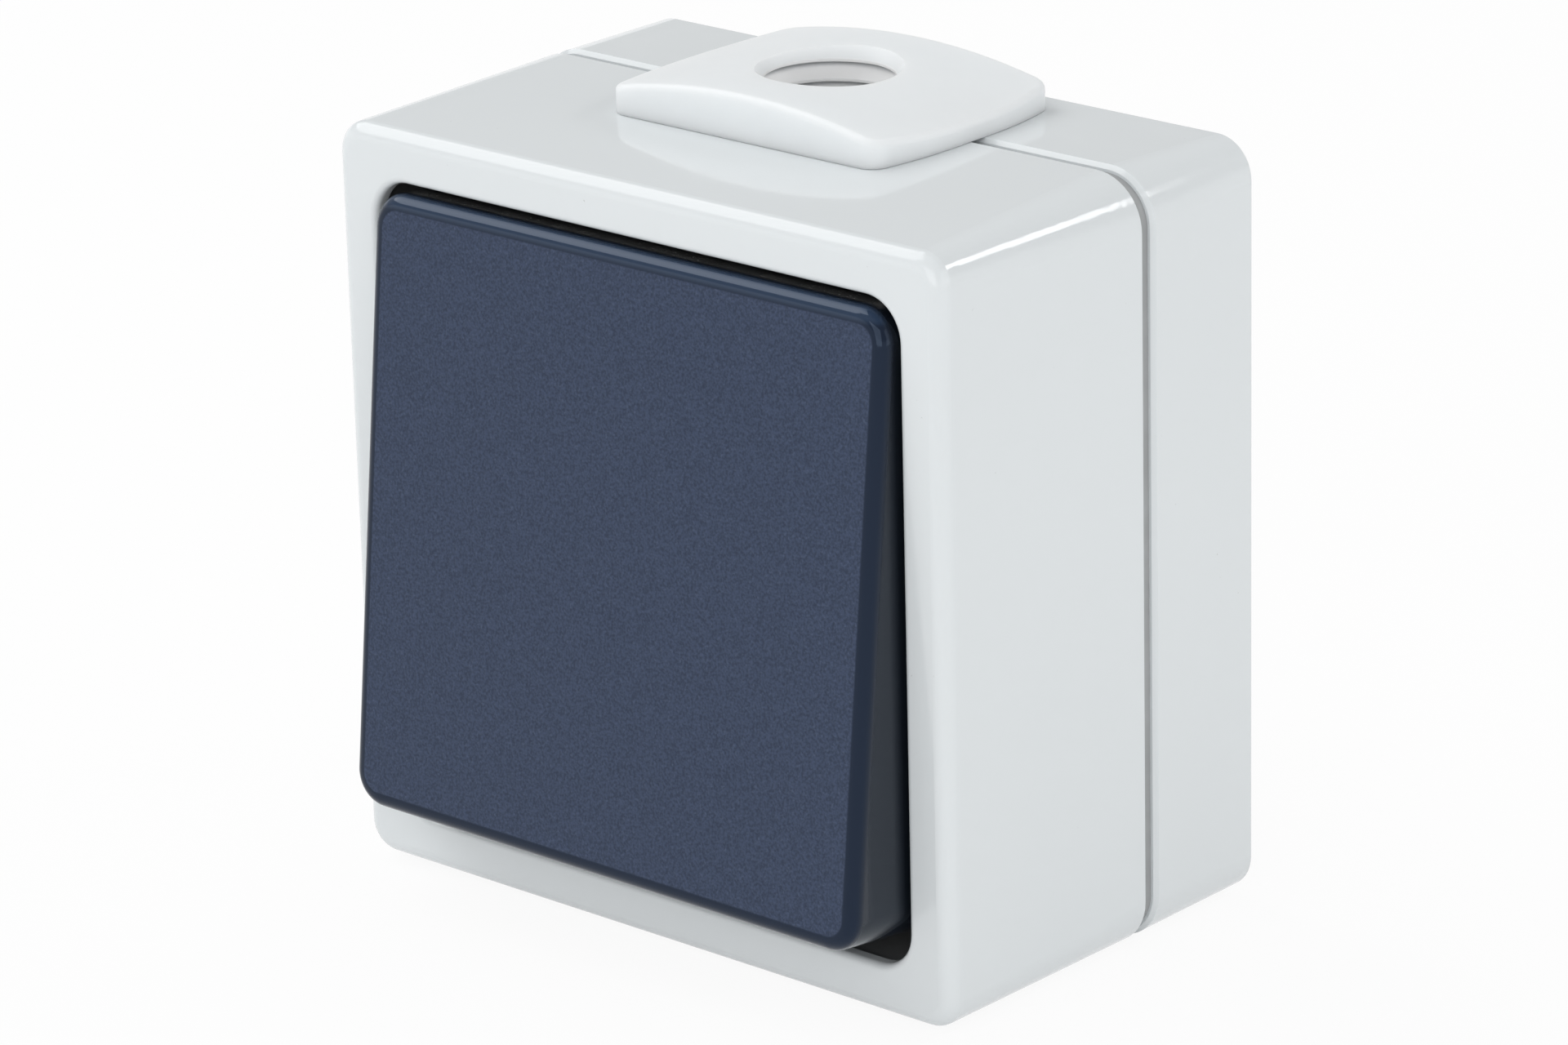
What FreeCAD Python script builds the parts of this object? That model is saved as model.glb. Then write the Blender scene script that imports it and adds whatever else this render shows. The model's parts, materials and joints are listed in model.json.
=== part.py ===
import FreeCAD, Part
import math
import os

Vector = FreeCAD.Vector

# Millimetres. X is right, Y goes into the wall, Z is up and the wall face is at Y = 0.
# A depth is a distance in front of the wall, so a point at some depth has Y = -depth.

# Housing shell
housing_size = 66.0
housing_depth = 39.0
base_depth = 13.5
seam_gap = 1.1
housing_corner = 4.5
rear_corner = 3.4
front_corner = 2.6
front_round = 1.4
base_taper = 0.3
cover_taper = 0.7
wall = 2.0
back_wall = 2.4
lip_bevel = 0.35
window_round = 0.6
frame_border = 4.3
window_corner = 3.4
window_lip = 1.3

# Seal and tongue in the seam
tongue_wall = 0.9
tongue_reach = 2.4
tongue_clearance = 0.15
seal_inset = 0.6
seal_clearance = 0.05

# Cable grommet, with its plate on the top face
plate_half_width = 14.0
plate_half_depth = 11.2
plate_bulge = 1.7
plate_corner = 1.8
plate_height = 3.6
plate_crown = 62.0
plate_round = 0.6
plate_stand_off = 0.05
entry_bore = 5.5
entry_bevel = 0.75
entry_bevel_depth = 1.05
rib_pitch = 1.7
rib_land = 0.2
rib_undercut = 0.3
rib_depth = 0.8
rib_count = 3
neck_radius = 7.8
neck_clearance = 0.2
grommet_flange = 1.7
grommet_flange_height = 1.5
grommet_flange_gap = 0.3
sleeve_length = 4.6
sleeve_wall = 1.7
sleeve_tip_wall = 1.1

# Rocker
rocker_tilt = 6.2
rocker_rise = 11.5
rocker_side_gap = 0.3
rocker_end_gap = 0.7
rocker_corner = 3.0
rocker_round = 1.15
rocker_draft = 0.2
rocker_wall = 1.6
rocker_face = 1.8
rocker_skirt = 9.5
pivot_inset = 7.9

# Carrier tray behind the window
tray_step = 0.3
tray_clearance = 0.15
tray_wall = 1.2
tray_floor = 1.2
floor_drop = 4.0
bracket_width = 2.6
bracket_half_height = 3.2

# Actuator
hub_radius = 2.6
hub_half = 8.6
hub_clearance = 0.4
trunnion_radius = 1.5
trunnion_clearance = 0.05
yoke_half_height = 8.0
yoke_half_width = 11.8
yoke_stand = 6.0
yoke_plate = 2.0
yoke_web = 2.4
post_radius = 3.5
post_length = 9.0
clip_half_width = 6.0
clip_wall = 1.6
clip_hook = 0.7
clip_clearance = 0.15
seat_rib = 2.0

# Plunger and spring
plunger_radius = 2.0
plunger_clearance = 0.06
plunger_gap = 0.15
bore_root = 2.4
spring_length = 3.2
spring_wire = 0.25
spring_turns = 3.5
spring_clearance = 0.1

# Lip seal in the tray floor
lip_gap = 0.9
lip_body = 1.6
lip_flange = 1.2
lip_flange_height = 0.8

# Switch insert
seesaw_offset = 17.1
seesaw_tilt = 8.0
insert_half_width = 19.5
insert_half_height = 15.0
insert_front_gap = 0.9
insert_floor = 2.0
insert_wall = 1.5
insert_corner = 1.5
cavity_half_width = 5.5
cavity_half_height = 11.5
chamber_wall = 2.5
chamber_rib = 2.0
strip_thickness = 0.8
strip_clearance = 0.2
strip_drop = 2.8
wire_hole = 2.0

# See-saw contact
blade_half_length = 9.5
blade_half_width = 2.5
blade_thickness = 0.8
blade_lift = 0.6
hinge_radius = 1.5
pin_radius = 0.8
pin_clearance = 0.05
ear_thickness = 0.8
ear_gap = 0.35
ear_half = 2.0
tip_radius = 1.5
tip_height = 1.2
tip_offset = 8.0
contact_gap = 0.12

# Terminals
clamp_width = 8.0
clamp_height = 7.0
clamp_depth = 6.0
clamp_bore = 1.6
terminal_shank = 1.5
terminal_head = 2.7
terminal_head_height = 2.2

# Fasteners
cover_screw_inset = 7.5
cover_screw_shank = 1.45
cover_screw_head = 3.0
cover_screw_head_height = 2.4
cover_screw_reach = 10.0
washer_radius = 3.6
washer_thickness = 0.6
screw_pilot_clearance = 0.05
screw_hole_clearance = 0.25
screw_slot = 0.8
cover_post = 3.5
cover_lug = 2.0
cover_lug_half = 4.5
insert_screw_inset = 3.5
insert_screw_shank = 1.4
insert_screw_head = 2.75
insert_screw_head_height = 2.0
insert_screw_reach = 4.0
insert_ear = 3.0
insert_boss = 3.5
fixing_inset = 7.0
fixing_hole = 2.3
fixing_boss = 5.0
fixing_boss_height = 1.2

# Housing depths and half widths
seam_half = housing_size / 2
front_half = seam_half - cover_taper
inner_half = seam_half - wall
front_inner_half = front_half - wall
inner_corner = max(housing_corner - wall, 0.5)
cover_rim = base_depth + seam_gap
seam_mid = base_depth + seam_gap / 2
tongue_end = cover_rim + tongue_reach
tongue_half = inner_half + tongue_wall
tongue_corner = inner_corner + tongue_wall
window_back = housing_depth - wall

# Rocker, tray and post depths
tilt = math.radians(rocker_tilt)
window_half = front_half - frame_border
pivot_depth = housing_depth - pivot_inset
rocker_half_width = window_half - rocker_side_gap
rocker_half_height = (window_half - rocker_end_gap - rocker_rise * math.sin(tilt)) / math.cos(tilt)
floor_front = pivot_depth - floor_drop
floor_back = floor_front - tray_floor
tray_half = window_half + tray_step + tray_wall
tray_corner = window_corner + tray_step
tray_front = housing_depth - window_lip
post_top = floor_back - cover_lug
bracket_near = hub_half + hub_clearance
lip_inner = post_radius + lip_gap
lip_outer = lip_inner + lip_body
plunger_bore = plunger_radius + plunger_clearance

# Insert depths
seesaw_depth = pivot_depth - seesaw_offset
blade_front = blade_lift + blade_thickness
plunger_reach = seesaw_offset - blade_front - plunger_gap
strip_front = seesaw_depth - strip_drop
insert_seat = strip_front - strip_thickness
insert_back = insert_seat - insert_floor
insert_front = post_top - insert_front_gap
chamber_near = cavity_half_width + chamber_wall
chamber_far = insert_half_width - insert_wall
hinge_half = blade_half_width + ear_gap
cover_screw_offset = window_half - cover_screw_inset
insert_screw_offset = insert_half_width + insert_screw_inset
fixing_offset = inner_half - fixing_inset
insert_hole = insert_screw_shank + screw_hole_clearance
cover_hole = cover_screw_shank + screw_hole_clearance

# Terminal places: side of the insert, centre height of the chamber, height of the strip
chamber_edge = insert_half_height - insert_wall
side_height = (chamber_edge + chamber_rib) / 2
side_half = chamber_edge - side_height
places = [(-1, 0.0, 0.0), (1, side_height, tip_offset), (1, -side_height, -tip_offset)]


def outline(half_x, half_z, corner, depth):
    """Closed rounded rectangle in the plane at a depth."""
    near = corner * (1 - math.sqrt(0.5))
    edges = []
    turns = [(1, 1), (-1, 1), (-1, -1), (1, -1)]
    ends = []
    for sx, sz in turns:
        side = Vector(sx * half_x, -depth, sz * (half_z - corner))
        middle = Vector(sx * (half_x - near), -depth, sz * (half_z - near))
        top = Vector(sx * (half_x - corner), -depth, sz * half_z)
        ends.append((side, middle, top) if sx * sz > 0 else (top, middle, side))
    for i, (start, middle, end) in enumerate(ends):
        edges.append(Part.Arc(start, middle, end).toShape())
        edges.append(Part.makeLine(end, ends[(i + 1) % 4][0]))
    return Part.Wire(edges)


def prism(half_x, half_z, corner, back, front):
    """Rounded rectangle carried straight from one depth to another."""
    return Part.Face(outline(half_x, half_z, corner, back)).extrude(Vector(0, back - front, 0))


def taper(*sections):
    """Solid through rounded squares given as (half size, corner, depth)."""
    wires = [outline(half, half, corner, depth) for half, corner, depth in sections]
    return flat_sided(Part.makeLoft(wires, True, True))


def flat_sided(loft):
    """The same solid with a true plane for each straight-edged flat side."""
    faces = []
    for face in loft.Faces:
        corners = [v.Point for v in face.OuterWire.OrderedVertexes]
        straight = len(corners) == 4 and face.findPlane() is not None
        faces.append(Part.Face(Part.makePolygon(corners + corners[:1])) if straight else face)
    shell = Part.Shell(faces)
    shell.sewShape()
    return Part.Solid(shell)


def block(x0, x1, back, front, z0, z1):
    return Part.makeBox(x1 - x0, front - back, z1 - z0, Vector(x0, -front, z0))


def rod(radius, x, z, back, front):
    """Cylinder square to the wall."""
    return Part.makeCylinder(radius, front - back, Vector(x, -back, z), Vector(0, -1, 0))


def axle(radius, half_length, depth):
    """Cylinder along X, centred on X = 0 and Z = 0."""
    return Part.makeCylinder(radius, 2 * half_length, Vector(-half_length, -depth, 0), Vector(1, 0, 0))


def edges_at(shape, depth):
    """Edges that lie in the plane at a depth."""
    return [e for e in shape.Edges if all(abs(v.Y + depth) < 1e-4 for v in e.Vertexes)
            and abs(e.CenterOfMass.y + depth) < 1e-4]


def ring_about_y(profile):
    """Solid of revolution about Y from (radius, depth) points."""
    points = [Vector(r, -d, 0) for r, d in profile]
    face = Part.Face(Part.makePolygon(points + points[:1]))
    return face.revolve(Vector(0, 0, 0), Vector(0, 1, 0), 360)


def turned_on_entry(profile):
    """Solid of revolution about the cable's axis from (radius, height) points."""
    points = [Vector(r, -seam_mid, z) for r, z in profile]
    face = Part.Face(Part.makePolygon(points + points[:1]))
    return face.revolve(Vector(0, -seam_mid, 0), Vector(0, 0, 1), 360)


def one(shape):
    return shape.removeSplitter().Solids[0]


def save(name, shape):
    shape.exportStep("parts/" + name + ".step")


def entry_cut():
    """Round opening through the top wall that the grommet's neck stands in."""
    start = seam_half - 3 * wall
    return Part.makeCylinder(neck_radius + neck_clearance, 6 * wall, Vector(0, -seam_mid, start))


def corner_pair(offset, side):
    """Two opposite corners of a square of points."""
    return [(-offset, side * offset), (offset, -side * offset)]


def make_base():
    """Back box with a tongue inside the seam, screw posts and two wall fixings."""
    rear_half = seam_half - base_taper
    shell = taper((rear_half - lip_bevel, rear_corner - lip_bevel, 0), (rear_half, rear_corner, lip_bevel),
                  (seam_half, housing_corner, base_depth - lip_bevel),
                  (seam_half - lip_bevel, housing_corner - lip_bevel, base_depth))
    tongue = prism(tongue_half, tongue_half, tongue_corner, base_depth - wall, tongue_end)
    hollow = prism(inner_half, inner_half, inner_corner, back_wall, tongue_end + 1)
    body = shell.fuse(tongue).cut(hollow)
    root = back_wall / 2
    for x, z in corner_pair(cover_screw_offset, 1):
        body = body.fuse(rod(cover_post, x, z, root, post_top))
    for x, z in corner_pair(fixing_offset, -1):
        body = body.fuse(rod(fixing_boss, x, z, root, back_wall + fixing_boss_height))
    for x in (-insert_screw_offset, insert_screw_offset):
        body = body.fuse(rod(insert_boss, x, 0, root, insert_back))
    holes = [entry_cut()]
    for x, z in corner_pair(cover_screw_offset, 1):
        pilot = cover_screw_shank + screw_pilot_clearance
        holes.append(rod(pilot, x, z, post_top - cover_screw_reach - 1, post_top + 1))
    for x, z in corner_pair(fixing_offset, -1):
        holes.append(rod(fixing_hole, x, z, -1, back_wall + fixing_boss_height + 1))
    for x in (-insert_screw_offset, insert_screw_offset):
        pilot = insert_screw_shank + screw_pilot_clearance
        holes.append(rod(pilot, x, 0, insert_back - insert_screw_reach - 0.5, insert_back + 1))
    return one(body.cut(Part.makeCompound(holes)))


def make_seal():
    """Rubber ring on the tongue that fills the seam."""
    outer_half = seam_half - seal_inset
    inner = tongue_half + seal_clearance
    ring = prism(outer_half, outer_half, housing_corner - seal_inset, base_depth, cover_rim)
    hole = prism(inner, inner, tongue_corner + seal_clearance, base_depth - 1, cover_rim + 1)
    return one(ring.cut(hole).cut(entry_cut()))


def make_cover():
    """Lofted hood whose corners tighten to the front, with the window and two screw lugs."""
    hood = taper((seam_half - lip_bevel, housing_corner - lip_bevel, cover_rim),
                 (seam_half, housing_corner, cover_rim + lip_bevel),
                 (front_half, front_corner, housing_depth))
    hood = hood.makeFillet(front_round, edges_at(hood, housing_depth))
    cavity = taper((inner_half, inner_corner, cover_rim), (front_inner_half, inner_corner, window_back))
    rebate_half = tongue_half + tongue_clearance
    rebate_corner = tongue_corner + tongue_clearance
    rebate = prism(rebate_half, rebate_half, rebate_corner, cover_rim - 1, tongue_end + tongue_clearance)
    window = prism(window_half, window_half, window_corner, window_back - 1, housing_depth + 1)
    seat = prism(tray_half + tray_clearance, tray_half + tray_clearance, tray_corner + tray_clearance,
                 window_back - 1, tray_front)
    body = hood.cut(cavity).cut(rebate).cut(window).cut(seat)
    mouth = [e for e in edges_at(body, housing_depth) if abs(e.CenterOfMass.x) < window_half + 0.01
             and abs(e.CenterOfMass.z) < window_half + 0.01]
    body = body.makeFillet(window_round, mouth)
    near = cover_screw_offset - cover_lug_half
    far = front_inner_half + wall / 2
    for x, z in corner_pair(1, 1):
        lug = block(min(x * near, x * far), max(x * near, x * far), post_top, floor_back,
                    min(z * near, z * far), max(z * near, z * far))
        body = body.fuse(lug)
    for x, z in corner_pair(cover_screw_offset, 1):
        body = body.cut(rod(cover_hole, x, z, post_top - 1, floor_back + 1))
    return one(body.cut(entry_cut()))


def top_surface(stand_off):
    """Block whose upper side follows the tops of the base and the cover at a stand-off."""
    line = [(0, seam_half - base_taper), (base_depth - lip_bevel, seam_half),
            (cover_rim + lip_bevel, seam_half), (housing_depth, front_half)]
    points = [Vector(-seam_half, -depth, height + stand_off) for depth, height in line]
    points += [Vector(-seam_half, -housing_depth, 0), Vector(-seam_half, 0, 0)]
    return Part.Face(Part.makePolygon(points + points[:1])).extrude(Vector(housing_size, 0, 0))


def make_grommet():
    """Soft entry plate with bowed ends and a crowned top, a neck and a ribbed bore."""
    foot = seam_half + plate_stand_off
    top = foot + plate_height
    front_y = -seam_mid - plate_half_depth
    back_y = -seam_mid + plate_half_depth
    low = front_half
    corners = [Vector(-plate_half_width, front_y, low), Vector(plate_half_width, front_y, low),
               Vector(plate_half_width, back_y, low), Vector(-plate_half_width, back_y, low)]
    bow = plate_half_width + plate_bulge
    plan = Part.Wire([
        Part.makeLine(corners[0], corners[1]),
        Part.Arc(corners[1], Vector(bow, -seam_mid, low), corners[2]).toShape(),
        Part.makeLine(corners[2], corners[3]),
        Part.Arc(corners[3], Vector(-bow, -seam_mid, low), corners[0]).toShape()])
    plate = Part.Face(plan).extrude(Vector(0, 0, 2 * plate_height))
    upright = [e for e in plate.Edges if len(e.Vertexes) == 2
               and abs(e.Vertexes[0].Z - e.Vertexes[1].Z) > plate_height]
    plate = plate.makeFillet(plate_corner, upright)
    crown = Part.makeCylinder(plate_crown, 4 * plate_half_depth,
                              Vector(0, front_y - plate_half_depth, top - plate_crown), Vector(0, 1, 0))
    plate = plate.common(crown)
    rim = [e for e in plate.Edges if e.BoundBox.ZMin > foot + 0.2]
    plate = plate.makeFillet(plate_round, rim).cut(top_surface(plate_stand_off))
    under = seam_half - wall - grommet_flange_gap
    flange_foot = under - grommet_flange_height
    tip = flange_foot - sleeve_length
    body = turned_on_entry([
        (0, foot + 1), (neck_radius, foot + 1), (neck_radius, under),
        (neck_radius + grommet_flange, under), (neck_radius + grommet_flange, flange_foot),
        (entry_bore + sleeve_wall, flange_foot), (entry_bore + sleeve_tip_wall, tip), (0, tip)])
    land = top - entry_bevel_depth
    mouth = entry_bore + entry_bevel
    bore = [(0, top + 1), (mouth, top + 1), (mouth, top), (entry_bore, land)]
    for i in range(rib_count):
        lip = land - rib_land - i * rib_pitch
        bore += [(entry_bore, lip), (entry_bore + rib_depth, lip - rib_undercut),
                 (entry_bore, land - (i + 1) * rib_pitch)]
    bore += [(entry_bore, tip - 1), (0, tip - 1)]
    return one(plate.fuse(body).cut(turned_on_entry(bore)))


def make_carrier():
    """Black tray behind the window, with two bearing brackets for the actuator."""
    inner = tray_half - tray_wall
    tray = prism(tray_half, tray_half, tray_corner, floor_back, tray_front)
    tray = tray.cut(prism(inner, inner, tray_corner - tray_wall, floor_front, tray_front + 1))
    root = floor_front - tray_floor / 2
    far = bracket_near + bracket_width
    for x0, x1 in ((-far, -bracket_near), (bracket_near, far)):
        foot = block(x0, x1, root, pivot_depth, -bracket_half_height, bracket_half_height)
        centre = Vector(x0, -pivot_depth, 0)
        head = Part.makeCylinder(bracket_half_height, bracket_width, centre, Vector(1, 0, 0))
        tray = tray.fuse(foot).fuse(head)
    tray = tray.cut(axle(trunnion_radius + trunnion_clearance, far + 1, pivot_depth))
    tray = tray.cut(rod(lip_outer + seal_clearance, 0, 0, floor_back - 1, floor_front + 1))
    for x, z in corner_pair(cover_screw_offset, 1):
        tray = tray.cut(rod(cover_hole, x, z, floor_back - 1, floor_front + 1))
    return one(tray)


def make_lip_seal():
    flange = floor_front + lip_flange_height
    return ring_about_y([(lip_inner, floor_back), (lip_outer, floor_back), (lip_outer, floor_front),
                         (lip_outer + lip_flange, floor_front), (lip_outer + lip_flange, flange),
                         (lip_inner, flange)])


def tilted(shape):
    """Turns a rocker piece from level to the pose with its top edge pressed in."""
    shape.rotate(Vector(0, -pivot_depth, 0), Vector(1, 0, 0), -rocker_tilt)
    return shape


def make_rocker():
    """Hollow rocker with drafted sides, rounded face edges, seat ribs and two clips for the yoke."""
    face = pivot_depth + rocker_rise
    skirt = face - rocker_skirt
    inside = face - rocker_face
    back = outline(rocker_half_width, rocker_half_height + rocker_draft, rocker_corner, skirt)
    front = outline(rocker_half_width - rocker_draft, rocker_half_height, rocker_corner, face)
    cap = flat_sided(Part.makeLoft([back, front], True, True))
    cap = cap.makeFillet(rocker_round, edges_at(cap, face))
    half_x = rocker_half_width - rocker_draft - rocker_wall
    half_z = rocker_half_height - rocker_wall
    cap = cap.cut(prism(half_x, half_z, rocker_corner - rocker_wall, skirt - 1, inside))
    yoke_front = pivot_depth + yoke_stand + yoke_plate
    root = inside + rocker_face / 2
    for x in (-1, 1):
        middle = x * (yoke_half_width - seat_rib)
        cap = cap.fuse(block(middle - seat_rib / 2, middle + seat_rib / 2, yoke_front, root,
                             -yoke_half_height, yoke_half_height))
    hook_front = pivot_depth + yoke_stand - clip_clearance
    hook_back = hook_front - clip_hook
    for z in (-1, 1):
        near = yoke_half_height + clip_clearance
        far = near + clip_wall
        leg = block(-clip_half_width, clip_half_width, hook_back, root, near, far)
        hook = block(-clip_half_width, clip_half_width, hook_back, hook_front, near - clip_hook, far)
        clip = leg.fuse(hook)
        if z < 0:
            clip = clip.mirror(Vector(0, 0, 0), Vector(0, 0, 1))
        cap = cap.fuse(clip)
    return tilted(one(cap))


def make_actuator():
    """Yoke with a hub on two trunnions and a bored post for the plunger."""
    plate = block(-yoke_half_width, yoke_half_width, pivot_depth + yoke_stand,
                  pivot_depth + yoke_stand + yoke_plate, -yoke_half_height, yoke_half_height)
    web = block(-hub_half, hub_half, pivot_depth, pivot_depth + yoke_stand, -yoke_web, yoke_web)
    body = plate.fuse(web).fuse(axle(hub_radius, hub_half, pivot_depth))
    body = body.fuse(axle(trunnion_radius, bracket_near + bracket_width, pivot_depth))
    body = body.fuse(rod(post_radius, 0, 0, pivot_depth - post_length, pivot_depth))
    body = body.cut(rod(plunger_bore, 0, 0, pivot_depth - post_length - 1, pivot_depth - bore_root))
    return tilted(one(body))


def make_plunger():
    tip_centre = pivot_depth - plunger_reach + plunger_radius
    shank = rod(plunger_radius, 0, 0, tip_centre, pivot_depth - bore_root - spring_length)
    tip = Part.makeSphere(plunger_radius, Vector(0, -tip_centre, 0))
    return tilted(one(shank.fuse(tip)))


def make_spring():
    """Coil that fills the bore between its root and the plunger."""
    coil = plunger_radius - spring_wire - spring_clearance
    height = spring_length - 2 * (spring_wire + spring_clearance)
    helix = Part.makeHelix(height / spring_turns, height, coil)
    corners = []
    for i in range(7):
        turn = math.radians(60 * i)
        corners.append(Vector(coil + spring_wire * math.cos(turn), 0, spring_wire * math.sin(turn)))
    spring = Part.Wire(helix).makePipeShell([Part.makePolygon(corners)], True, True)
    spring.rotate(Vector(0, 0, 0), Vector(1, 0, 0), 90)
    back_end = pivot_depth - bore_root - spring_length + spring_wire + spring_clearance
    spring.translate(Vector(0, -back_end, 0))
    return tilted(spring)


def make_insert():
    """Moulded insert with the contact cavity, three terminal chambers and two fixing ears."""
    body = prism(insert_half_width, insert_half_height, insert_corner, insert_back, insert_front)
    for x in (-insert_screw_offset, insert_screw_offset):
        ear = rod(insert_boss, x, 0, insert_back, insert_back + insert_ear)
        arm = block(min(0, x), max(0, x), insert_back, insert_back + insert_ear, -insert_boss, insert_boss)
        body = body.fuse(ear).fuse(arm)
    open_front = insert_front + 1
    cuts = [block(-cavity_half_width, cavity_half_width, insert_seat, open_front,
                  -cavity_half_height, cavity_half_height)]
    for side, height, strip_height in places:
        near, far = sorted((side * chamber_near, side * chamber_far))
        cuts.append(block(near, far, insert_seat, open_front, height - side_half, height + side_half))
        slot_half = ear_half + strip_clearance
        slot_near, slot_far = sorted((side * cavity_half_width / 2, side * (chamber_near + 1)))
        cuts.append(block(slot_near, slot_far, insert_seat, strip_front + strip_clearance,
                          strip_height - slot_half, strip_height + slot_half))
        start = Vector(side * (chamber_far - 1), -strip_front - clamp_depth / 2, height)
        cuts.append(Part.makeCylinder(wire_hole, insert_wall + 3, start, Vector(side, 0, 0)))
    for x in (-insert_screw_offset, insert_screw_offset):
        cuts.append(rod(insert_hole, x, 0, insert_back - 1, insert_back + insert_ear + 1))
    return one(body.cut(Part.makeCompound(cuts)))


def clamp_centre(side):
    return side * (chamber_near + chamber_far) / 2


def make_strip(side, height, strip_height, inner_end):
    """Flat strip from the contact cavity into a terminal chamber, with a pad under the clamp."""
    outer_end = side * (chamber_far - strip_clearance)
    x0, x1 = sorted((inner_end, outer_end))
    run = block(x0, x1, insert_seat, strip_front, strip_height - ear_half, strip_height + ear_half)
    p0, p1 = sorted((side * (chamber_near + strip_clearance), outer_end))
    pad_half = clamp_height / 2
    pad = block(p0, p1, insert_seat, strip_front, height - pad_half, height + pad_half)
    return run.fuse(pad)


def make_common():
    """Common strip with two folded ears that hold the pivot pin."""
    far = hinge_half + ear_thickness
    strip = make_strip(*places[0], far)
    for x0, x1 in ((-far, -hinge_half), (hinge_half, far)):
        ear = block(x0, x1, strip_front - strip_thickness / 2, seesaw_depth, -ear_half, ear_half)
        head = Part.makeCylinder(ear_half, ear_thickness, Vector(x0, -seesaw_depth, 0), Vector(1, 0, 0))
        strip = strip.fuse(ear).fuse(head)
    return one(strip.cut(axle(pin_radius + pin_clearance, far + 1, seesaw_depth)))


def seesaw_tilted(shape):
    """Turns a see-saw piece from level to its closed pose on the lower contact."""
    shape.rotate(Vector(0, -seesaw_depth, 0), Vector(1, 0, 0), seesaw_tilt)
    return shape


def make_bridge():
    """See-saw blade with a round hinge barrel on the pin."""
    blade = block(-blade_half_width, blade_half_width, seesaw_depth + blade_lift,
                  seesaw_depth + blade_front, -blade_half_length, blade_half_length)
    body = blade.fuse(axle(hinge_radius, blade_half_width, seesaw_depth))
    body = body.cut(axle(pin_radius + pin_clearance, blade_half_width + 1, seesaw_depth))
    front = block(-blade_half_width - 1, blade_half_width + 1, seesaw_depth + blade_front,
                  seesaw_depth + hinge_radius + 1, -hinge_radius - 1, hinge_radius + 1)
    return seesaw_tilted(one(body.cut(front)))


def make_moving_tips():
    back = seesaw_depth + blade_lift - tip_height
    front = seesaw_depth + blade_lift
    tips = [seesaw_tilted(rod(tip_radius, 0, z, back, front)) for z in (-tip_offset, tip_offset)]
    return Part.makeCompound(tips)


def make_fixed_tips():
    """Tips on the strips, just clear of the closed moving tip."""
    turn = math.radians(seesaw_tilt)
    reach = (tip_offset + tip_radius) * math.sin(turn) + (tip_height - blade_lift) * math.cos(turn)
    front = seesaw_depth - reach - contact_gap
    tips = [rod(tip_radius, 0, z, strip_front, front) for z in (-tip_offset, tip_offset)]
    return Part.makeCompound(tips)


def slotted_head(radius, x, z, back, front):
    """Screw head with a straight driver slot."""
    head = rod(radius, x, z, back, front)
    slot_depth = (front - back) / 2
    slot = block(x - radius - 1, x + radius + 1, front - slot_depth, front + 1,
                 z - screw_slot / 2, z + screw_slot / 2)
    return head.cut(slot)


def make_clamps():
    """Brass clamp blocks with a wire bore across and a screw bore from the front."""
    clamps = []
    back = strip_front
    front = strip_front + clamp_depth
    for side, height, _ in places:
        x = clamp_centre(side)
        body = block(x - clamp_width / 2, x + clamp_width / 2, back, front,
                     height - clamp_height / 2, height + clamp_height / 2)
        middle = (back + front) / 2
        start = Vector(x - clamp_width / 2 - 1, -middle, height)
        wire = Part.makeCylinder(clamp_bore, clamp_width + 2, start, Vector(1, 0, 0))
        screw = rod(terminal_shank + screw_pilot_clearance, x, height, middle, front + 1)
        clamps.append(one(body.cut(wire).cut(screw)))
    return Part.makeCompound(clamps)


def make_terminal_screws():
    screws = []
    front = strip_front + clamp_depth
    for side, height, _ in places:
        x = clamp_centre(side)
        shank = rod(terminal_shank, x, height, front - clamp_depth / 3, front)
        head = slotted_head(terminal_head, x, height, front, front + terminal_head_height)
        screws.append(one(shank.fuse(head)))
    return Part.makeCompound(screws)


def make_insert_screws():
    screws = []
    seat = insert_back + insert_ear
    for x in (-insert_screw_offset, insert_screw_offset):
        shank = rod(insert_screw_shank, x, 0, insert_back - insert_screw_reach, seat)
        head = slotted_head(insert_screw_head, x, 0, seat, seat + insert_screw_head_height)
        screws.append(one(shank.fuse(head)))
    return Part.makeCompound(screws)


def make_cover_screws():
    screws = []
    seat = floor_front + washer_thickness
    for x, z in corner_pair(cover_screw_offset, 1):
        shank = rod(cover_screw_shank, x, z, post_top - cover_screw_reach, seat)
        head = slotted_head(cover_screw_head, x, z, seat, seat + cover_screw_head_height)
        screws.append(one(shank.fuse(head)))
    return Part.makeCompound(screws)


def make_washers():
    washers = []
    for x, z in corner_pair(cover_screw_offset, 1):
        front = floor_front + washer_thickness
        disc = rod(washer_radius, x, z, floor_front, front)
        washers.append(one(disc.cut(rod(cover_hole, x, z, floor_front - 1, front + 1))))
    return Part.makeCompound(washers)


os.makedirs("parts", exist_ok=True)
save("rear_base", make_base())
save("housing_seal", make_seal())
save("front_cover", make_cover())
save("cable_grommet", make_grommet())
save("rocker_carrier", make_carrier())
save("carrier_lip_seal", make_lip_seal())
save("rocker_cap", make_rocker())
save("actuator", make_actuator())
save("plunger", make_plunger())
save("plunger_spring", make_spring())
save("insert_body", make_insert())
save("common_terminal", make_common())
save("upper_terminal", one(make_strip(*places[1], -tip_radius - strip_clearance)))
save("lower_terminal", one(make_strip(*places[2], -tip_radius - strip_clearance)))
save("contact_pin", axle(pin_radius, hinge_half + ear_thickness, seesaw_depth))
save("contact_bridge", make_bridge())
save("moving_contact_tips", make_moving_tips())
save("fixed_contact_tips", make_fixed_tips())
save("terminal_clamps", make_clamps())
save("terminal_screws", make_terminal_screws())
save("insert_screws", make_insert_screws())
save("cover_screws", make_cover_screws())
save("cover_screw_washers", make_washers())
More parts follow.
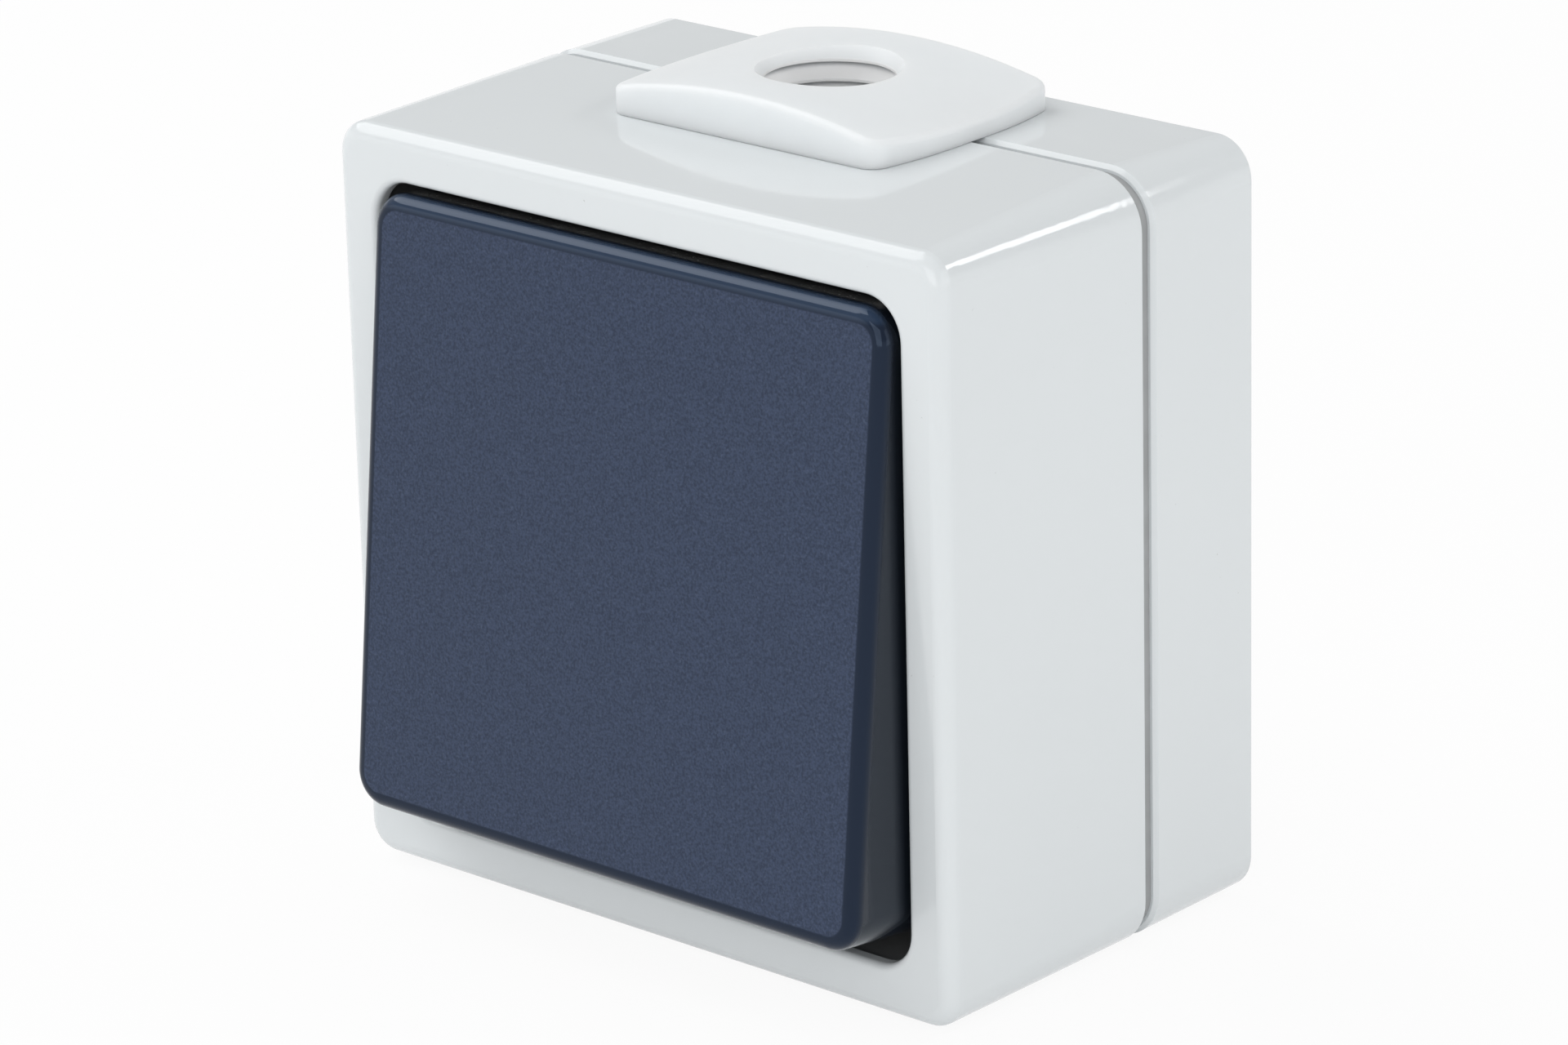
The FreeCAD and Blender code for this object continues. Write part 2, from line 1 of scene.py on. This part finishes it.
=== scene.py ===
import json
import math
import bpy
import numpy as np
from mathutils import Matrix, Vector


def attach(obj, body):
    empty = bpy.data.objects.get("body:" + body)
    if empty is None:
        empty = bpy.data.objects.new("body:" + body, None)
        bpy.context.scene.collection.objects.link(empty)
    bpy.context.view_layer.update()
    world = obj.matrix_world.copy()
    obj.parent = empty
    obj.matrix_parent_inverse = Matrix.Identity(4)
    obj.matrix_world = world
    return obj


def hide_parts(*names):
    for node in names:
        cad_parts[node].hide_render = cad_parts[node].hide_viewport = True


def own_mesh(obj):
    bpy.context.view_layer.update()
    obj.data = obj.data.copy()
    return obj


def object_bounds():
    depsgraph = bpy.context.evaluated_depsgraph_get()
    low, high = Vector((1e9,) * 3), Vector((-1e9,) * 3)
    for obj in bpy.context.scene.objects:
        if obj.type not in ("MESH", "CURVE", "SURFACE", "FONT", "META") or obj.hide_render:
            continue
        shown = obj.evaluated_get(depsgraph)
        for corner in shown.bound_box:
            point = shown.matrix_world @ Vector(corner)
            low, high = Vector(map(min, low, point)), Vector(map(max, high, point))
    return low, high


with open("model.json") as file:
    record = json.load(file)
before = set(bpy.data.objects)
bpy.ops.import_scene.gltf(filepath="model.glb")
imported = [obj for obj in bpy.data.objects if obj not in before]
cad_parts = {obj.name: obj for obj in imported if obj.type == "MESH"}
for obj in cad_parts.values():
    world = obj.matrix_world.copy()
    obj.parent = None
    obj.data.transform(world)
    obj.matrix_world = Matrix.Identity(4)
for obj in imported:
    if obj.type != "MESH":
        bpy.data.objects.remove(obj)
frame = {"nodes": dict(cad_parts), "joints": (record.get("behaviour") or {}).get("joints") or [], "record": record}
cadLow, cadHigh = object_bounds()
nodes = frame["nodes"]
joints = {joint["name"]: joint for joint in frame["joints"]}
mm = 0.001
flatWithin = 0.01 * mm  # points this close in depth lie on one flat face
print("frame loaded:", len(nodes), "nodes")

# the rocker's hinge and how far the rocker leans at rest, half of its whole travel
pivot = np.array(joints["rocker_tilt"]["pos_m"])
tilt = math.radians(joints["rocker_tilt"]["range_deg"][1]) / 2
turn = np.array(Matrix.Rotation(tilt, 3, "X"))


def meshPoints(node):
    mesh = nodes[node].data
    points = np.empty(len(mesh.vertices) * 3)
    mesh.vertices.foreach_get("co", points)
    return points.reshape(-1, 3)


# a node's points measured from the hinge, with the lean at rest undone
def levelPoints(node):
    return (meshPoints(node) - pivot) @ turn.T


class Signal:
    # a socket that takes part in sums: each operator adds one Math node
    def __init__(self, finish, socket):
        self.finish = finish
        self.socket = socket

    def sum(self, operation, *terms):
        return self.finish.node("ShaderNodeMath", {"operation": operation}, dict(enumerate(terms)))

    def __add__(self, other):
        return self.sum("ADD", self, other)

    def __radd__(self, other):
        return self.sum("ADD", other, self)

    def __sub__(self, other):
        return self.sum("SUBTRACT", self, other)

    def __rsub__(self, other):
        return self.sum("SUBTRACT", other, self)

    def __mul__(self, other):
        return self.sum("MULTIPLY", self, other)

    def __rmul__(self, other):
        return self.sum("MULTIPLY", other, self)

    def __pow__(self, other):
        return self.sum("POWER", self, other)

    def __abs__(self):
        return self.sum("ABSOLUTE", self)

    def least(self, other):
        return self.sum("MINIMUM", self, other)

    def most(self, other):
        return self.sum("MAXIMUM", self, other)

    # 0 below low, 1 above high and a smooth step between; low above high turns it round
    def step(self, low, high):
        settings = {"interpolation_type": "SMOOTHSTEP"}
        if low > high:
            return 1 - self.finish.node("ShaderNodeMapRange", settings, {0: self, 1: high, 2: low})
        return self.finish.node("ShaderNodeMapRange", settings, {0: self, 1: low, 2: high})

    # the same step with both its limits counted from a start
    def stepFrom(self, start, reach):
        return self.step(start + reach[0], start + reach[1])


class NodeSheet:
    # the node tree of a material or world: node() makes any node
    def __init__(self, owner):
        owner.use_nodes = True
        self.tree = owner.node_tree

    def node(self, kind, settings=None, sockets=None, output=0):
        made = self.tree.nodes.new(kind)
        for key, value in (settings or {}).items():
            setattr(made, key, value)
        for key, value in (sockets or {}).items():
            self.plug(made.inputs[key], value)
        return Signal(self, made.outputs[output])

    def plug(self, socket, value):
        if isinstance(value, Signal):
            self.tree.links.new(value.socket, socket)
        else:
            socket.default_value = value

    def split(self, place):
        made = self.node("ShaderNodeSeparateXYZ", None, {0: place}).socket.node
        return [Signal(self, out) for out in made.outputs]

    # 1 for what the camera sees straight, in a mirror or through glass
    def backdropRays(self):
        rays = self.tree.nodes.new("ShaderNodeLightPath").outputs
        seen = [Signal(self, rays[f"Is {kind} Ray"]) for kind in ("Camera", "Glossy", "Transmission")]
        return (seen[0] + seen[1] + seen[2]).least(1)


def shade(colour, factor):
    return tuple(min(1, c * factor) for c in colour)


class Finish(NodeSheet):
    # a material: feed() sets or links a shader socket
    def __init__(self, name, **constants):
        self.material = bpy.data.materials.new(name)
        super().__init__(self.material)
        self.shader = self.tree.nodes["Principled BSDF"]
        self.place = self.node("ShaderNodeTexCoord", output="Object")
        for socket, value in constants.items():
            self.feed(socket.replace("_", " "), value)

    def feed(self, name, value):
        if name == "Base Color" and not isinstance(value, Signal):
            value = (*value, 1)
        self.plug(self.shader.inputs[name], value)

    # grain of about the given size, 0 to 1
    def grain(self, size, detail=2, place=None):
        sockets = {"Vector": place or self.place, "Scale": 1 / size, "Detail": detail}
        return self.node("ShaderNodeTexNoise", None, sockets)

    def mix(self, share, first, second):
        pair = [c if isinstance(c, Signal) else (*c, 1) for c in (first, second)]
        return self.node("ShaderNodeMix", {"data_type": "RGBA"}, {0: share, 6: pair[0], 7: pair[1]}, 2)

    # one colour from its darker to its lighter tone
    def tones(self, share, colour, dark, light):
        return self.mix(share, shade(colour, dark), shade(colour, light))

    def relief(self, height, depth):
        sockets = {"Strength": 1, "Distance": depth, "Height": height}
        self.feed("Normal", self.node("ShaderNodeBump", None, sockets))

    def stretched(self, scale):
        return self.node("ShaderNodeMapping", None, {"Vector": self.place, "Scale": scale})

    # the place as measured from a point and turned about X
    def turned(self, centre, angle):
        sockets = {"Vector": self.place, "Location": centre, "Rotation": (angle, 0, 0)}
        return self.node("ShaderNodeMapping", {"vector_type": "TEXTURE"}, sockets)


housingLook = {
    "colour": (0.728, 0.762, 0.777), "mottle": 0.012, "cloud": 25 * mm,
    "roughness": 0.08, "rubbed": 0.06, "rubSize": 4 * mm, "rubCut": (0.45, 0.75),
    "peel": 1.6 * mm, "peelDepth": 0.0012 * mm,
    "speck": 0.35 * mm, "speckCut": (0.80, 0.84), "speckPatch": 5 * mm, "patchCut": (0.5, 0.6),
    "speckColour": (0.30, 0.30, 0.29), "speckShare": 0.35,
    "shader": {"IOR": 1.5}}


# glossy moulding: a faint cloud in the colour, a rubbed sheen, a slight ripple and a few dark specks
def housingPlastic():
    look = housingLook
    f = Finish("housingPlastic", **look["shader"])
    tone = f.tones(f.grain(look["cloud"]), look["colour"], 1 - look["mottle"], 1 + look["mottle"])
    speck = f.grain(look["speck"], 1).step(*look["speckCut"])
    speck = speck * f.grain(look["speckPatch"], 1).step(*look["patchCut"])
    f.feed("Base Color", f.mix(speck * look["speckShare"], tone, look["speckColour"]))
    rub = f.grain(look["rubSize"], 4).step(*look["rubCut"])
    f.feed("Roughness", look["roughness"] + look["rubbed"] * rub)
    f.relief(f.grain(look["peel"], 1), look["peelDepth"])
    return f.material


# pairs of lengths are reaches, counted outwards from the bore's wall or, for mouth, upwards from its end
grommetLook = {
    "colour": (0.80, 0.83, 0.845), "bore": (0.95, 0.955, 0.96), "paintedGrooveShade": (0.40, 0.41, 0.42),
    "mottle": 0.022, "cloud": 6 * mm, "roughness": 0.36, "rubbed": 0.14, "rubSize": 0.8 * mm,
    "pore": 0.25 * mm, "poreDepth": 0.005 * mm,
    "inside": (1.6 * mm, 1.2 * mm), "mouth": (0.1 * mm, -0.1 * mm), "paintedShadeReach": (0.5 * mm, 0.85 * mm),
    "shader": {"IOR": 1.45, "Subsurface_Weight": 0.6, "Subsurface_Scale": 3 * mm,
               "Subsurface_Radius": (1, 1, 1)}}


# soft pale rubber that lets a little light through, with painted light making the cable bore's wall paler and
# painted shade darkening its grooves
def grommetRubber():
    look = grommetLook
    entry = next(m for m in frame["record"]["mounts"] if m["name"] == "cable_entry")
    f = Finish("grommetRubber", **look["shader"])
    tone = f.tones(f.grain(look["cloud"], 3), look["colour"], 1 - look["mottle"], 1 + look["mottle"])
    x, y, z = f.split(f.place)
    radius = ((x - entry["pos_m"][0]) ** 2 + (y - entry["pos_m"][1]) ** 2) ** 0.5
    bore = entry["dims"]["r_mm"] * mm
    mouth = entry["pos_m"][2] + entry["dims"]["length_mm"] / 2 * mm
    # painted light and shade: the bore's wall is coloured paler than the rubber around it, and darker towards the
    # depth of its grooves, where shade falls
    inside = radius.stepFrom(bore, look["inside"]) * z.stepFrom(mouth, look["mouth"])
    wall = f.mix(radius.stepFrom(bore, look["paintedShadeReach"]), look["bore"], look["paintedGrooveShade"])
    f.feed("Base Color", f.mix(inside, tone, wall))
    f.feed("Roughness", look["roughness"] + look["rubbed"] * f.grain(look["rubSize"]))
    f.relief(f.grain(look["pore"]), look["poreDepth"])
    return f.material


# pairs of lengths are reaches, counted back from the flat face or, for ledgeRise, up from its top edge
rockerLook = {
    "panel": (0.035, 0.047, 0.083), "panelTones": (0.70, 1.30), "panelRoughness": 0.44,
    "panelInset": 0.1 * mm, "softEdge": 0.25 * mm, "panelEnd": (0.4 * mm, 0.2 * mm), "corner": 1.85 * mm,
    "grit": 0.22 * mm, "gritCut": (0.28, 0.72), "gritDepth": 0.014 * mm,
    "fleck": (0.085, 0.11, 0.17), "fleckSize": 0.286 * mm, "fleckCut": (0.56, 0.72), "fleckShare": 0.3,
    "rim": (0.009, 0.014, 0.028), "rimRoughness": 0.07,
    "paintedHighlightRim": (0.018, 0.034, 0.068), "upperFade": 0.3 * mm, "upperPolish": 0.36,
    "gleamEnd": (0.50 * mm, 0.22 * mm),
    "skirt": (0.009, 0.012, 0.018), "skirtStart": (0.4 * mm, 1.4 * mm), "skirtPolish": 0.3,
    "dust": (0.60, 0.60, 0.57), "ledgeRise": (0.8 * mm, 1.1 * mm),
    "ledgeStart": (1.15 * mm, 1.7 * mm), "ledgeEnd": (3.8 * mm, 2.4 * mm),
    "dustFilmAndPaintedLight": 0.16, "filmPatch": 0.10, "filmSize": 1.6 * mm, "filmCut": (0.35, 0.7),
    "dustGrain": 0.32 * mm, "grainCut": (0.70, 0.76), "grainPatch": 7 * mm, "patchCut": (0.42, 0.6),
    "shader": {"IOR": 1.5, "Specular_IOR_Level": 0.3, "Specular_Tint": (0.55, 0.72, 1.0, 1),
               "Coat_Roughness": 0.05, "Coat_IOR": 1.6}}


# the depth and half sizes of the rocker's flat face
def rockerFace():
    level = levelPoints("rocker_cap")
    front = level[:, 1].min()
    flat = level[level[:, 1] < front + flatWithin]
    return front, flat[:, 0].max(), flat[:, 2].max()


# one moulding with a fine textured panel, a polished rounded rim whose upper side is painted paler and bluer as a
# painted highlight, and plainer sides that catch dust, lightened on the shaded ledge as painted light
def rockerPlastic():
    look = rockerLook
    front, halfX, halfZ = rockerFace()
    f = Finish("rockerPlastic", **look["shader"])
    level = f.turned(pivot, -tilt)
    x, y, z = f.split(level)
    # distance outside a rounded rectangle: negative on the panel, zero where the edge begins to round
    r = look["corner"]
    overX = abs(x) - (halfX - r)
    overZ = abs(z) - (halfZ - r)
    outside = (overX.most(0) ** 2 + overZ.most(0) ** 2) ** 0.5
    edge = outside + overX.most(overZ).least(0) - r
    panel = edge.step(-look["panelInset"], -look["panelInset"] - look["softEdge"])
    panel = panel * y.stepFrom(front, look["panelEnd"])
    skirt = y.stepFrom(front, look["skirtStart"])
    upper = z.stepFrom(halfZ, (-look["upperFade"], look["upperFade"])) * (1 - panel)
    grit = f.grain(look["grit"], 3, level).step(*look["gritCut"])
    fleck = f.grain(look["fleckSize"], 2, level).step(*look["fleckCut"])
    face = f.tones(grit, look["panel"], *look["panelTones"])
    face = f.mix(fleck * look["fleckShare"], face, look["fleck"])
    # painted highlight: the rim's upper side is coloured paler and bluer than the rest of the rim
    rim = f.mix(upper, look["rim"], look["paintedHighlightRim"])
    colour = f.mix(panel, f.mix(skirt, rim, look["skirt"]), face)
    # a dull film, partly dust and partly painted light that lifts the shaded ledge, and a few bright grains of
    # dust lie on the upper side, behind the rim
    ledge = z.stepFrom(halfZ, look["ledgeRise"]) * y.stepFrom(front, look["ledgeStart"])
    ledge = ledge * y.stepFrom(front, look["ledgeEnd"])
    dustFilmAndPaintedLight = look["dustFilmAndPaintedLight"] + look["filmPatch"] * f.grain(look["filmSize"], 3, level).step(*look["filmCut"])
    grains = f.grain(look["dustGrain"], 1, level).step(*look["grainCut"])
    grains = grains * f.grain(look["grainPatch"], 1, level).step(*look["patchCut"])
    # painted light: the film is paler than dust alone would be, so the ledge deep in the gap's shade reads lighter
    dust = (dustFilmAndPaintedLight + grains).least(1) * ledge
    f.feed("Base Color", f.mix(dust, colour, look["dust"]))
    f.feed("Roughness", look["rimRoughness"] + panel * (look["panelRoughness"] - look["rimRoughness"]))
    gleam = upper * y.stepFrom(front, look["gleamEnd"])
    polish = (skirt * look["skirtPolish"]).most(gleam * look["upperPolish"])
    f.feed("Coat Weight", polish * (1 - dust))
    f.relief(grit * panel, look["gritDepth"])
    return f.material


darkLook = {"cloud": 4 * mm, "tones": (0.8, 1.25), "rubbed": 0.15, "rubSize": 0.6 * mm,
            "pore": 0.3 * mm, "poreDepth": 0.008 * mm, "shader": {"IOR": 1.5}}
paleLook = {"cloud": 5 * mm, "tones": (0.95, 1.04), "rubbed": 0.14, "rubSize": 1 * mm,
            "pore": 0.4 * mm, "poreDepth": 0.006 * mm, "shader": {"IOR": 1.48}}


# plain moulding or rubber: a clouded colour, an uneven sheen and fine pores
def moulding(name, look, colour, roughness):
    f = Finish(name, **look["shader"])
    f.feed("Base Color", f.tones(f.grain(look["cloud"], 3), colour, *look["tones"]))
    f.feed("Roughness", roughness + look["rubbed"] * f.grain(look["rubSize"], 3))
    f.relief(f.grain(look["pore"]), look["poreDepth"])
    return f.material


metalLook = {"line": 0.12 * mm, "lineStretch": (0.04, 1, 1), "lineShare": 0.5, "lineDepth": 0.004 * mm,
             "cloud": 2.5 * mm, "tones": (0.82, 1.1), "rubbed": 0.16, "shader": {"Metallic": 1.0}}


# metal with fine lines that run along X
def brushedMetal(name, colour, roughness):
    look = metalLook
    f = Finish(name, **look["shader"])
    lines = f.grain(look["line"], 3, f.stretched(look["lineStretch"]))
    cloud = f.grain(look["cloud"], 3)
    worn = look["lineShare"] * lines + (1 - look["lineShare"]) * cloud
    f.feed("Base Color", f.tones(worn, colour, *look["tones"]))
    f.feed("Roughness", roughness + look["rubbed"] * lines)
    f.relief(lines, look["lineDepth"])
    return f.material


finishes = {
    "housing_grey": housingPlastic(),
    "grommet_white": grommetRubber(),
    "rocker_blue": rockerPlastic(),
    "seal_grey": moulding("sealRubber", darkLook, (0.36, 0.37, 0.375), 0.5),
    # painted light: the carrier is coloured mid grey rather than black, so that its faces in the shaded gaps read
    # lighter
    "carrier_black": moulding("carrierPaintedLightGrey", darkLook, (0.20, 0.204, 0.21), 0.3),
    "rubber_black": moulding("blackRubber", darkLook, (0.016, 0.016, 0.016), 0.55),
    "actuator_white": moulding("whiteSlide", paleLook, (0.78, 0.77, 0.74), 0.34),
    "insert_ivory": moulding("ivoryInsert", paleLook, (0.70, 0.66, 0.56), 0.34),
    "steel": brushedMetal("zincSteel", (0.62, 0.62, 0.63), 0.26),
    "brass": brushedMetal("stripBrass", (0.78, 0.60, 0.30), 0.24),
    "silver": brushedMetal("contactSilver", (0.84, 0.83, 0.81), 0.2)}

for part in frame["record"]["subparts"]:
    mesh = nodes[part["node"]].data
    mesh.materials.clear()
    mesh.materials.append(finishes[part["material_slot"]])
print("finishes on", len(nodes), "nodes")


# a closed profile carried along a path: point = path + a * outward + b * sideways, where sideways stands
# square to the path and to outward; the walls join each station to the next and two flat ends close it
def sweep(path, outward, profile):
    stations, corners = profile.shape[:2]
    along = np.gradient(path, axis=0)
    along /= np.linalg.norm(along, axis=1, keepdims=True)
    sideways = np.cross(along, outward)
    points = path[:, None] + profile[..., :1] * outward[:, None] + profile[..., 1:] * sideways[:, None]
    row = np.arange(stations - 1)[:, None] * corners
    here = np.arange(corners)
    there = (here + 1) % corners
    walls = np.stack([row + here, row + there, row + there + corners, row + here + corners], -1)
    ends = np.stack([here[::-1], here + (stations - 1) * corners])
    return points.reshape(-1, 3), walls.reshape(-1, 4), ends


# one piece of equal shells, each moved to its own place
def newPiece(name, shell, places, body, slot, smooth):
    points, walls, ends = shell
    starts = (np.arange(len(places)) * len(points))[:, None, None]
    faces = (walls + starts).reshape(-1, 4).tolist() + (ends + starts).reshape(-1, ends.shape[1]).tolist()
    mesh = bpy.data.meshes.new(name)
    mesh.from_pydata((places[:, None] + points).reshape(-1, 3).tolist(), [], faces)
    mesh.polygons.foreach_set("use_smooth", np.full(len(faces), smooth))
    mesh.materials.append(finishes[slot])
    piece = bpy.data.objects.new(name, mesh)
    bpy.context.scene.collection.objects.link(piece)
    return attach(piece, body)


# directions square to the Y axis, one for each angle
def spokes(angle):
    return np.stack([np.cos(angle), np.zeros_like(angle), np.sin(angle)], -1)


# points of a circle of radius 1, as many as it has sides
def unitCircle(sides):
    around = np.linspace(0, 2 * math.pi, sides, endpoint=False)
    return np.stack([np.cos(around), np.sin(around)], -1)


onePlace = np.zeros((1, 3))
coilLook = {"wire": 0.25 * mm, "turns": 3.5, "stations": 48, "sides": 14}


# round wire on an even helix, as long and as wide as the spring's solid
def plungerCoil():
    look = coilLook
    solid = levelPoints("plunger_spring")
    low, high = solid[:, 1].min(), solid[:, 1].max()
    coil = np.hypot(solid[:, 0], solid[:, 2]).max() - look["wire"]
    angle = np.linspace(0, 2 * math.pi * look["turns"], int(look["stations"] * look["turns"]))
    outward = spokes(angle)
    path = coil * outward
    path[:, 1] = np.linspace(high - look["wire"], low + look["wire"], len(angle))
    profile = np.tile(look["wire"] * unitCircle(look["sides"]), (len(angle), 1, 1))
    shell = sweep(pivot + path @ turn, outward @ turn, profile)
    piece = newPiece("plungerCoil", shell, onePlace, "rocker", "steel", True)
    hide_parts("plunger_spring")
    axis = np.array((0, 1, 0)) @ turn
    fixedEnd = pivot + low * axis
    keep = 1 - joints["plunger_slide"]["range_m"][1] / (high - low)
    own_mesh(piece)


pinLook = {"edge": 0.15 * mm, "edgeRings": 5, "tipRings": 14, "tipEnd": 86, "sides": 48}


# rings of changing radius along a straight path: a slightly rounded flat end, a straight shank, a round tip
def plungerPin():
    look = pinLook
    solid = levelPoints("plunger")
    low, high = solid[:, 1].min(), solid[:, 1].max()
    full = np.hypot(solid[:, 0], solid[:, 2]).max()
    edge = np.linspace(0, math.pi / 2, look["edgeRings"])
    tip = np.linspace(0, math.radians(look["tipEnd"]), look["tipRings"])
    radius = np.append(full - look["edge"] * (1 - np.sin(edge)), full * np.cos(tip))
    path = np.zeros((len(radius), 3))
    path[:, 1] = np.append(low + look["edge"] * (1 - np.cos(edge)), high - full * (1 - np.sin(tip)))
    outward = np.tile((1.0, 0.0, 0.0), (len(radius), 1))
    profile = radius[:, None, None] * unitCircle(look["sides"])
    shell = sweep(pivot + path @ turn, outward @ turn, profile)
    piece = newPiece("plungerPin", shell, onePlace, "plunger", "actuator_white", True)
    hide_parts("plunger")


threadLook = {
    "cover_screws": {"pitch": 1.2 * mm, "crest": 0.35 * mm, "length": 9.4 * mm},
    "insert_screws": {"pitch": 1.1 * mm, "crest": 0.30 * mm, "length": 3.6 * mm},
    "terminal_screws": {"pitch": 0.5 * mm, "crest": 0.18 * mm, "length": 1.8 * mm}}
ridgeLook = {"stations": 30, "share": 0.62, "sink": 0.06 * mm, "leastFade": 0.12, "apart": 4 * mm}


# the centres of a node's flat screw tips, told apart by the distance between them, and the shank's radius
def screwTips(node):
    points = meshPoints(node)
    tips = points[points[:, 1] > points[:, 1].max() - flatWithin]
    near = np.linalg.norm(tips[:, None] - tips, axis=2) < ridgeLook["apart"]
    groups = [tips[near.argmax(1) == first] for first in np.unique(near.argmax(1))]
    centres = np.array([(group.min(0) + group.max(0)) / 2 for group in groups])
    return centres, np.ptp(groups[0][:, 0]) / 2


# a triangular ridge on a right-hand helix: one pitch for each turn, fading in and out over half a turn
def screwThread(node, pitch, crest, length):
    look = ridgeLook
    centres, radius = screwTips(node)
    angle = np.linspace(0, 2 * math.pi * length / pitch, int(look["stations"] * length / pitch))
    fade = np.clip(np.minimum(angle, angle[-1] - angle) / math.pi, look["leastFade"], 1)[:, None]
    outward = spokes(angle)
    path = radius * outward
    path[:, 1] = -pitch / 2 - pitch * angle / (2 * math.pi)
    height, side = np.array([(0, -0.5), (1, 0), (0, 0.5)]).T
    rise = fade * crest * height - look["sink"] * (1 - height)
    profile = np.stack([rise, fade * look["share"] * pitch * side], -1)
    newPiece(node + "_thread", sweep(path, outward, profile), centres, "housing", "steel", False)


plungerCoil()
plungerPin()
for node, look in threadLook.items():
    screwThread(node, **look)
print("plunger, its spring and", len(threadLook), "sets of screw threads made")

stageLook = {
    "floorSize": 3.0, "floorColour": (0.90, 0.90, 0.90), "floorRoughness": 0.9, "shadow": 0.08,
    "white": (1, 1, 1, 1), "world": 0.46, "bandFull": 0.12, "bandTop": 0.24}


# pale floor under the object: white to the camera and to reflections, less a share that keeps the shadow
def whiteFloor():
    look = stageLook
    span = [-look["floorSize"], look["floorSize"]]
    u, v = np.meshgrid(span, span)
    points = np.stack([u, v, np.full_like(u, cadLow[2])], -1).reshape(-1, 3)
    mesh = bpy.data.meshes.new("floor")
    mesh.from_pydata(points.tolist(), [], [(0, 1, 3, 2)])
    floor = bpy.data.objects.new("floor", mesh)
    bpy.context.scene.collection.objects.link(floor)
    f = Finish("floorWhite", Base_Color=look["floorColour"], Roughness=look["floorRoughness"],
               Specular_IOR_Level=0.0)
    share = f.backdropRays() * (1 - look["shadow"])
    white = f.node("ShaderNodeEmission", None, {"Color": look["white"], "Strength": 1})
    mixed = f.node("ShaderNodeMixShader", None, {0: share, 1: Signal(f, f.shader.outputs[0]), 2: white})
    f.plug(f.tree.nodes["Material Output"].inputs["Surface"], mixed)
    mesh.materials.append(f.material)


# even studio light, with a white band for the backdrop up to a little above the horizon
def whiteWorld():
    look = stageLook
    world = bpy.data.worlds.new("world")
    bpy.context.scene.world = world
    sky = NodeSheet(world)
    height = sky.split(sky.node("ShaderNodeTexCoord", output="Generated"))[2]
    band = sky.backdropRays() * height.step(look["bandTop"], look["bandFull"])
    shader = sky.tree.nodes["Background"]
    sky.plug(shader.inputs["Color"], look["white"])
    sky.plug(shader.inputs["Strength"], look["world"] + (1 - look["world"]) * band)


# each lamp stands towards a direction, with its width laid along another
lampLook = {
    "rim": {"towards": (0.545, 0.62, 0.565), "along": (0.719, 0, -0.695), "distance": 0.8,
            "size": (0.14, 0.18), "watts": 0.6},
    "sky": {"towards": (-0.61, -0.17, 0.77), "along": (0.27, -0.96, 0), "distance": 0.9,
            "size": (0.88, 0.72), "watts": 4.15},
    "front": {"towards": (0.26, -0.91, 0.32), "along": (0.961, 0.275, 0), "distance": 0.9,
              "size": (0.7, 0.64), "watts": 2.6},
    "side": {"towards": (0.93, 0.12, 0.33), "along": (-0.128, 0.992, 0), "distance": 0.9,
             "size": (0.9, 0.66), "watts": 1.85}}


# a placing whose own X, Y and Z axes point along across, up and back
def facing(across, up, back, place):
    return Matrix.Translation(place) @ Matrix((across, up, back)).transposed().to_4x4()


def softLamp(name, towards, along, distance, size, watts):
    data = bpy.data.lights.new(name, "AREA")
    data.shape = "RECTANGLE"
    data.size, data.size_y = size
    data.energy = watts
    back = Vector(towards).normalized()
    up = back.cross(Vector(along)).normalized()
    lamp = bpy.data.objects.new(name, data)
    lamp.matrix_world = facing(up.cross(back), up, back, back * distance)
    bpy.context.scene.collection.objects.link(lamp)


cameraLook = {
    "aim": (2.646 * mm, -24.0 * mm, 0.386 * mm), "azimuth": 41.496, "elevation": 19.635, "roll": -1.408,
    "distance": 544.785 * mm, "lens": 152.484, "sensor": 36.0}


def photoCamera():
    look = cameraLook
    azimuth, elevation, roll = (math.radians(look[k]) for k in ("azimuth", "elevation", "roll"))
    level = Vector((math.sin(azimuth), -math.cos(azimuth), 0))
    back = level * math.cos(elevation) + Vector((0, 0, math.sin(elevation)))
    right = Vector((math.cos(azimuth), math.sin(azimuth), 0))
    across = right * math.cos(roll) + back.cross(right) * math.sin(roll)
    data = bpy.data.cameras.new("photoCamera")
    data.sensor_width = look["sensor"]
    data.lens = look["lens"]
    camera = bpy.data.objects.new("photoCamera", data)
    place = Vector(look["aim"]) + back * look["distance"]
    camera.matrix_world = facing(across, back.cross(across), back, place)
    bpy.context.scene.collection.objects.link(camera)
    bpy.context.scene.camera = camera


whiteFloor()
whiteWorld()
for name, lamp in lampLook.items():
    softLamp(name, **lamp)
photoCamera()
bpy.context.scene.view_settings.view_transform = "Standard"
print("stage, lamps and camera set")
